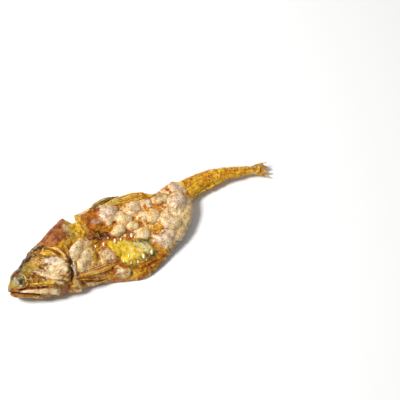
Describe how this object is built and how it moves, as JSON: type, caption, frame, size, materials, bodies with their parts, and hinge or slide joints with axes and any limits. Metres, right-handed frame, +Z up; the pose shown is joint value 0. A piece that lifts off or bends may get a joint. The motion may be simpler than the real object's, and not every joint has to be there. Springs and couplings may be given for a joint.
{
  "type": "dried fish",
  "caption": "Whole small dried fish, gutted and split along the belly, lying on its side with blistered amber skin.",
  "frame": {"origin": "centre of the fish's outline, on the ground it lies on", "axes": "+X from snout to tail, +Y towards the back, +Z up, out of the left flank"},
  "size_m": [0.1277, 0.039, 0.0189],
  "materials": {
    "dried_skin": "dried, oily sheen, blistered"
  },
  "bodies": {
    "root": {"dried_fish": "dried_skin"}
  },
  "joints": []
}
